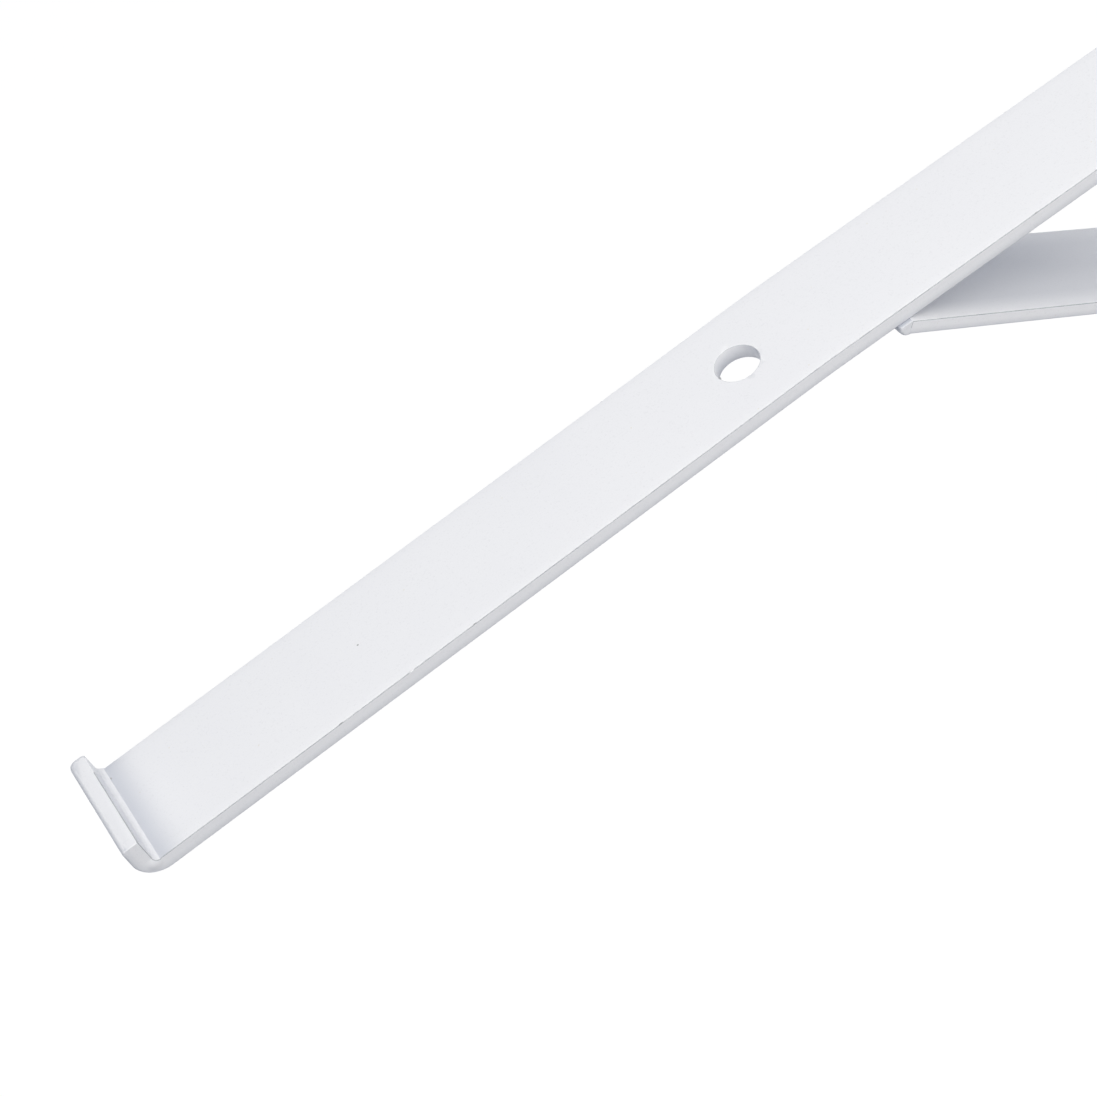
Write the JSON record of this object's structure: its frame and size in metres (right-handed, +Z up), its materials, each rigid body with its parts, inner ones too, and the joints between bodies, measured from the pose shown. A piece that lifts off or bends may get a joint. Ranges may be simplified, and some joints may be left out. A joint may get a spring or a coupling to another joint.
{
  "type": "shelf bracket",
  "caption": "White powder-coated steel shelf bracket: flat bar bent into a front lip, a shelf arm and a wall leg, stiffened by a welded diagonal brace.",
  "frame": {"origin": "on the wall face of the leg, midway between the two wall screw holes and in the middle of the bar's width", "axes": "+X out from the wall along the arm, +Y across the bar, +Z up"},
  "size_m": [0.3541, 0.032, 0.2224],
  "materials": {
    "white_powder_coat": "satin"
  },
  "bodies": {
    "root": {"bracket_bar": "white_powder_coat", "brace_bar": "white_powder_coat", "arm_weld": "white_powder_coat", "wall_weld": "white_powder_coat"}
  },
  "joints": []
}
